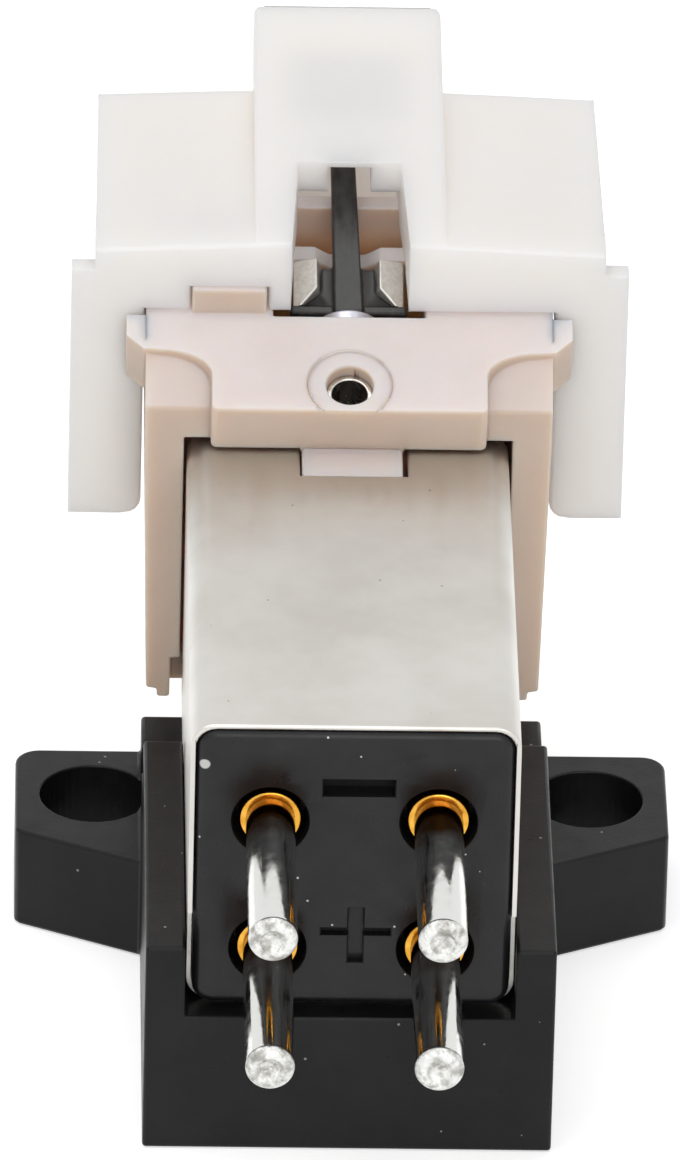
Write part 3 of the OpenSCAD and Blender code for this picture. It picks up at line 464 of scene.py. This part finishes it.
# Terminal block: its size comes from its node; a bar of a mark is its middle in X and Z, its width and height
blockShape = {"corner": 0.53, "rim": 0.26, "pocket": 0.97, "pocketDepth": 1.45, "lip": 0.05, "lipFlare": 0.3,
              "bore": 0.45, "boreDepth": 3.0, "outside": 0.5, "nearFace": 0.001}
markShape = {"minus": (0.1, 10.31, 1.8, 0.5), "minusDepth": 0.55, "plus": (0.1, 6.14, 1.75, 0.22),
             "stroke": (0.1, 6.04, 0.38, 1.6), "plusDepth": 0.25, "soft": 0.03}


def roundedOutline(halfWidth, halfHeight, corner, steps=10):
    # a rectangle with quarter-round corners, walked once round from the right side, as points of X and Z
    turn = np.linspace(0, np.pi / 2, steps)
    parts = []
    for quarter, (x, z) in enumerate(((1, 1), (-1, 1), (-1, -1), (1, -1))):
        angle = turn + quarter * np.pi / 2
        across = x * (halfWidth - corner) + corner * np.cos(angle)
        height = z * (halfHeight - corner) + corner * np.sin(angle)
        parts.append(np.stack([across, height], 1))
    return np.concatenate(parts)


def stacked(sections):
    # closed outlines of equal length joined one to the next, with a cap on the first and on the last
    rows, columns = len(sections), len(sections[0])
    row, column = np.meshgrid(np.arange(rows - 1), np.arange(columns), indexing="ij")
    here, beside = row * columns + column, row * columns + (column + 1) % columns
    walls = np.stack([here, beside, beside + columns, here + columns], -1).reshape(-1, 4)
    caps = [list(range(columns))[::-1], list(range((rows - 1) * columns, rows * columns))]
    return np.concatenate(sections) * mm, walls.tolist() + caps


def closedMesh(name, *solids):
    # several closed solids in one mesh
    points, faces, start = [], [], 0
    for solidPoints, solidFaces in solids:
        points.append(solidPoints)
        faces += [[index + start for index in face] for face in solidFaces]
        start += len(solidPoints)
    mesh = bpy.data.meshes.new(name)
    mesh.from_pydata(np.concatenate(points).tolist(), [], faces)
    faceOutwards(mesh)
    return mesh


def cutFrom(name, body, cutter):
    # the first mesh with the second one taken away
    whole = bpy.data.objects.new(name + "Whole", body)
    tool = bpy.data.objects.new(name + "Tool", cutter)
    for piece in (whole, tool):
        bpy.context.scene.collection.objects.link(piece)
    cut = whole.modifiers.new("cut", "BOOLEAN")
    cut.object, cut.operation, cut.solver = tool, "DIFFERENCE", "EXACT"
    result = bpy.data.meshes.new_from_object(whole.evaluated_get(bpy.context.evaluated_depsgraph_get()))
    result.name = name
    for piece in (whole, tool):
        bpy.data.objects.remove(piece)
    return result


def levelOutline(outline, depth):
    # an outline of X and Z set at one depth along Y
    return np.insert(outline, 1, depth, axis=1)


def blockBody(low, high):
    # rounded rectangles along Y; at the rear they shrink by rim (1 - cos t) while Y goes by rim (1 - sin t)
    halfWidth, halfHeight = (high[0] - low[0]) / 2, (high[2] - low[2]) / 2
    middle, rim = (high[2] + low[2]) / 2, blockShape["rim"]
    sections = [(high[1], 0.0)]
    for bend in np.linspace(0, math.pi / 2, 8):
        sections.append((low[1] + rim * (1 - math.sin(bend)), rim * (1 - math.cos(bend))))
    outlines = []
    for depth, inset in sections:
        outline = roundedOutline(halfWidth - inset, halfHeight - inset, blockShape["corner"] - inset)
        outlines.append(levelOutline(outline, depth) + (0, 0, middle))
    return stacked(outlines)


def pocketTool(x, z, rear, steps=48):
    # circles along Y: a flared lip, the pocket, then the bore for the pin's tail
    wide, lip, bore = blockShape["pocket"], blockShape["lip"], blockShape["bore"]
    deep, flare = rear + blockShape["pocketDepth"], lip * blockShape["lipFlare"]
    profile = [(rear - blockShape["outside"], wide + lip), (rear - blockShape["nearFace"], wide + lip),
               (rear + flare, wide + flare), (rear + lip, wide), (deep, wide),
               (deep, bore), (rear + blockShape["boreDepth"], bore)]
    turn = np.linspace(0, 2 * np.pi, steps, endpoint=False)
    ring = np.stack([np.cos(turn), np.sin(turn)], 1)
    return stacked([levelOutline((x, z) + radius * ring, depth) for depth, radius in profile])


def barSides(bar, grow):
    # left, right, low and high of a bar: its middle less and plus half its size and grow
    x, z, width, height = bar
    half, tall = width / 2 + grow, height / 2 + grow
    return x - half, x + half, z - tall, z + tall


def markTool(rear, deep, bar, stroke=None):
    # the outline of a bar or a cross, with a small draft: wider at the rear face than at the mark's bottom
    soft = markShape["soft"]
    outlines = []
    steps = ((rear - blockShape["outside"], soft), (rear, soft), (rear + soft, 0.0), (rear + deep, -soft / 2))
    for depth, grow in steps:
        left, right, low, high = barSides(bar, grow)
        outline = [(right, low), (right, high), (left, high), (left, low)]
        if stroke:
            inLeft, inRight, bottom, top = barSides(stroke, grow)
            outline = [(right, low), (right, high), (inRight, high), (inRight, top), (inLeft, top),
                       (inLeft, high), (left, high), (left, low), (inLeft, low), (inLeft, bottom),
                       (inRight, bottom), (inRight, low)]
        outlines.append(levelOutline(np.array(outline), depth))
    return stacked(outlines)


def boxOf(nodeName):
    # the low and the high corner of a node's box, in mm
    low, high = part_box(nodeName)
    return np.array(low) / mm, np.array(high) / mm


blockLow, blockHigh = boxOf("terminal_block")
rearFace = blockLow[1]
pinNames = [(side, sign) for side in ("left", "right") for sign in ("minus", "plus")]
pinBoxes = {(side, sign): boxOf(f"pin_{side}_{sign}") for side, sign in pinNames}
tools = []
for low, high in pinBoxes.values():
    tools.append(pocketTool((low[0] + high[0]) / 2, (low[2] + high[2]) / 2, rearFace))
tools.append(markTool(rearFace, markShape["minusDepth"], markShape["minus"]))
tools.append(markTool(rearFace, markShape["plusDepth"], markShape["plus"], markShape["stroke"]))
blockMesh = closedMesh("blockBody", blockBody(blockLow, blockHigh))
blockMesh = cutFrom("terminalMoulding", blockMesh, closedMesh("blockTools", *tools))
placePiece("terminalMoulding", blockMesh, blockPlastic, "cartridge", "block_plastic", "terminal_block")
print("bracket, can and block made")

# Pins and eyelets

pinShape = {"radius": 0.62, "seat": 0.1, "tail": 0.45, "step": 0.02, "roundDepth": 0.22, "roundWidth": 0.24,
            "shankFrom": 0.3, "shankEnd": 0.04,
            "dent": ((0.13, 0.0), (0.12, 0.12), (0.1, 0.22), (0.05, 0.29), (0.01, 0.33))}
eyeletRounding = 0.04


def pinProfile(rear, front):
    # a rough dent in the end, a quarter round to the full radius, the shank, then the shoulder and the tail
    radius, seat, tail = pinShape["radius"], rearFace + pinShape["seat"], pinShape["tail"]
    dent = [(rear + depth, distance) for depth, distance in pinShape["dent"]]
    bend = np.linspace(0, np.pi / 2, 9)
    depths = rear + pinShape["roundDepth"] * (1 - np.cos(bend))
    distances = radius - pinShape["roundWidth"] * (1 - np.sin(bend))
    corner = np.stack([depths, distances], 1).tolist()
    shankRows = np.linspace(rear + pinShape["shankFrom"], seat - pinShape["shankEnd"], 16)
    shank = [(depth, radius) for depth in shankRows]
    end = [(seat, radius - pinShape["step"]), (seat, tail), (front, tail), (front, 0.0)]
    return dent + corner + shank + end


for (side, sign), (low, high) in pinBoxes.items():
    ending = side.title() + sign.title()
    centre = ((low[0] + high[0]) / 2, 0, (low[2] + high[2]) / 2)
    turned("pin" + ending, pinProfile(low[1], high[1]), centre, (0, 1, 0), tinnedPin,
           "cartridge", "tinned_pin", f"pin_{side}_{sign}")
    softened("eyelet" + ending, f"collar_{side}_{sign}", goldPlate, "cartridge", "gold_plate", eyeletRounding)
print("pins and eyelets made")

# Magnetic circuit

# hidden in the can, so two segments to a rounding are enough
circuitRounding = {"core": 0.03, "bobbin": 0.04, "poleFrame": 0.04}
for side in ("left", "right"):
    softened(f"core{side.title()}", f"core_{side}", coreAlloy, "cartridge", "core_alloy",
             circuitRounding["core"], segments=2)
    for level in ("upper", "lower"):
        softened(f"bobbin{side.title()}{level.title()}", f"bobbin_{side}_{level}", bobbinPlastic, "cartridge",
                 "bobbin_plastic", circuitRounding["bobbin"], segments=2)
        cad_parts[f"coil_{side}_{level}"].material_slots[0].material = copperWire
softened("poleFrame", "pole_frame", blackPlastic, "cartridge", "black_plastic", circuitRounding["poleFrame"],
         segments=2)
print("magnetic circuit made")

# Stylus unit

holderEdges = {"rounding": 0.07, "tipShare": 0.3, "tipsFrom": 5.0, "tipsAbove": 12.3,
               "levelShare": 0.03, "levelAcross": 5.2, "levelWithin": 0.02, "levelAbove": 14.3}


def holderWeights(middle):
    # full rounding, less where the T's wings leave the arms, hardly any where a wing is level with the top
    across, height = np.abs(middle[:, 0]), middle[:, 2]
    atTips = (across > holderEdges["tipsFrom"]) & (height > holderEdges["tipsAbove"])
    level = np.abs(across - holderEdges["levelAcross"]) < holderEdges["levelWithin"]
    level &= height > holderEdges["levelAbove"]
    return np.where(level, holderEdges["levelShare"], np.where(atTips, holderEdges["tipShare"], 1.0))


softened("holderMoulding", "stylus_holder", creamPlastic, "stylus_unit", "cream_plastic",
         holderEdges["rounding"], holderWeights)

suspensionRounding = {"tube": 0.04, "sleeve": 0.06, "damper": 0.05, "bar": 0.07, "magnet": 0.04}
softened("anchorTube", "anchor_tube", tubeSteel, "stylus_unit", "tube_steel", suspensionRounding["tube"])
softened("sleeve", "suspension_sleeve", sleeveMetal, "stylus_unit", "sleeve_metal",
         suspensionRounding["sleeve"])
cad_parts["tie_wire"].material_slots[0].material = tubeSteel
softened("damper", "damper_ring", damperRubber, "damper", "damper_rubber", suspensionRounding["damper"])
softened("cantileverBar", "cantilever", carbonPlastic, "moving_system", "carbon_plastic",
         suspensionRounding["bar"])
for side in ("left", "right"):
    softened(f"magnet{side.title()}", f"magnet_{side}", magnetMetal, "moving_system", "magnet_metal",
             suspensionRounding["magnet"])
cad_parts["stylus_tip"].material_slots[0].material = diamondFinish

guardEdges = {"rounding": 0.1, "slotShare": 0.2, "slotHalf": 1.75, "tipShare": 0.45, "tipsFrom": 6.3}


def guardWeights(middle):
    # full rounding outside, little round the thin-walled slot, and about half at the tips of the flange
    across = np.abs(middle[:, 0])
    outside = np.where(across > guardEdges["tipsFrom"], guardEdges["tipShare"], 1.0)
    return np.where(across < guardEdges["slotHalf"], guardEdges["slotShare"], outside)


softened("guardMoulding", "stylus_guard", milkyPlastic, "guard", "milky_plastic",
         guardEdges["rounding"], guardWeights, hollows=False)
print("stylus unit and guard made")

# Floor, light and camera

studio = {"floor": "#f2f2f2", "floorSize": 6000, "floorDrop": 0.02, "floorLift": 0.5, "worldDiffuse": 0.54,
          "worldSeen": 1.0, "keyPower": 1.18, "fillPower": 1.0}


def seenDirectly(tree):
    # 1 for rays from the camera and for mirrored and refracted rays, 0 for the rays that light the object
    ray = addNode(tree, "LightPath").outputs
    seen = addNode(tree, "Math", {0: ray["Is Camera Ray"], 1: ray["Is Glossy Ray"]}, operation="MAXIMUM")
    return addNode(tree, "Math", {0: seen, 1: ray["Is Transmission Ray"]}, operation="MAXIMUM")


bpy.ops.mesh.primitive_plane_add(size=studio["floorSize"] * mm, location=(0, 0, -studio["floorDrop"] * mm))
floor = bpy.context.object
floor.name = "floor"
floorFinish = bpy.data.materials.new("paleFloor")
floorFinish.use_nodes = True
tree = floorFinish.node_tree
tree.nodes.clear()
lift = addNode(tree, "Math", {0: seenDirectly(tree), 1: studio["floorLift"]}, operation="MULTIPLY")
matt = addNode(tree, "BsdfDiffuse", {"Color": studio["floor"]})
glow = addNode(tree, "Emission", {"Color": "#ffffff", "Strength": lift})
both = addNode(tree, "AddShader", {0: matt, 1: glow})
addNode(tree, "OutputMaterial", {"Surface": both})
floor.data.materials.append(floorFinish)

world = bpy.data.worlds.new("studio")
bpy.context.scene.world = world
world.use_nodes = True
tree = world.node_tree
tree.nodes.clear()
light = between(tree, seenDirectly(tree), studio["worldDiffuse"], studio["worldSeen"], 0, 1)
sky = addNode(tree, "Background", {"Color": "#ffffff", "Strength": light})
addNode(tree, "OutputWorld", {"Surface": sky})


def addLamp(name, size, power, location, target=(0, 0, 0.008)):
    # a square soft box that faces the target, with its size and both places in m
    lamp = bpy.data.lights.new(name, "AREA")
    lamp.size, lamp.energy = size, power
    holder = bpy.data.objects.new(name, lamp)
    bpy.context.scene.collection.objects.link(holder)
    holder.location = location
    holder.rotation_euler = (Vector(target) - Vector(location)).to_track_quat("-Z", "Y").to_euler()


addLamp("keyBox", 0.5, studio["keyPower"], (-0.15, -0.05, 0.6))
addLamp("fillBox", 0.4, studio["fillPower"], (0.1, -0.6, 0.3))

# The photograph's own view: a long lens from 47 cm, half-inch hole spacing as the scale
view = {"azimuth": -1.597, "elevation": 29.971, "roll": 1.479, "distance": 472.2, "right": 0.104, "up": -2.772,
        "target": (0, 0, 6.0), "focalPixels": 18434.5, "tallSide": 1160}
azimuth, elevation, roll = (math.radians(view[key]) for key in ("azimuth", "elevation", "roll"))
level = Vector((math.cos(azimuth), math.sin(azimuth), 0))
onward = math.cos(elevation)
ahead = Vector((-math.sin(azimuth) * onward, math.cos(azimuth) * onward, -math.sin(elevation)))
upright = level.cross(ahead)
rightward = level * math.cos(roll) + upright * math.sin(roll)
upward = upright * math.cos(roll) - level * math.sin(roll)
cameraData = bpy.data.cameras.new("camera")
cameraData.sensor_width = 36
cameraData.lens = view["focalPixels"] * cameraData.sensor_width / view["tallSide"]
cameraData.clip_start, cameraData.clip_end = 0.01, 20
camera = bpy.data.objects.new("camera", cameraData)
bpy.context.scene.collection.objects.link(camera)
place = Vector(view["target"]) - rightward * view["right"] - upward * view["up"] - ahead * view["distance"]
turn = Matrix((rightward, upward, -ahead)).transposed().to_4x4()
camera.matrix_world = Matrix.Translation(place * mm) @ turn
bpy.context.scene.camera = camera
bpy.context.scene.view_settings.view_transform = "Standard"
print("floor, light and camera made")
